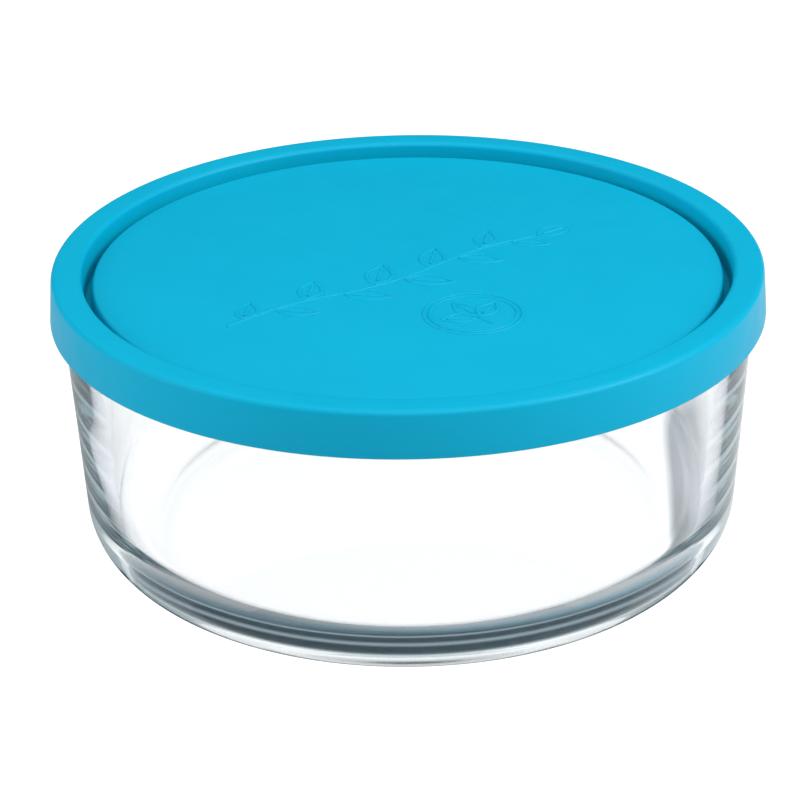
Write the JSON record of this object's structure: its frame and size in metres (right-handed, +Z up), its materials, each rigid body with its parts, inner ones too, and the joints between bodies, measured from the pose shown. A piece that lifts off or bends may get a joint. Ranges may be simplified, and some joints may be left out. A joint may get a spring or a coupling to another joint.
{
  "type": "glass storage container",
  "caption": "Round pressed-glass food container with a rimmed soft plastic press-on lid that lifts straight off.",
  "frame": {"origin": "centre of the bowl's foot, on the surface it stands on", "axes": "+Z up along the axis of both round pieces; X and Y are interchangeable"},
  "size_m": [0.182, 0.182, 0.0768],
  "materials": {
    "clear_glass": "fire-polished pressed glass",
    "lid_plastic": "satin, turquoise blue"
  },
  "bodies": {
    "bowl": {"glass_bowl": "clear_glass"},
    "lid": {"snap_lid": "lid_plastic"}
  },
  "joints": [
    {"name": "lid_lift", "type": "slide", "parent": "bowl", "child": "lid", "axis": [0, 0, 1], "range_m": [0, 0.08]}
  ]
}
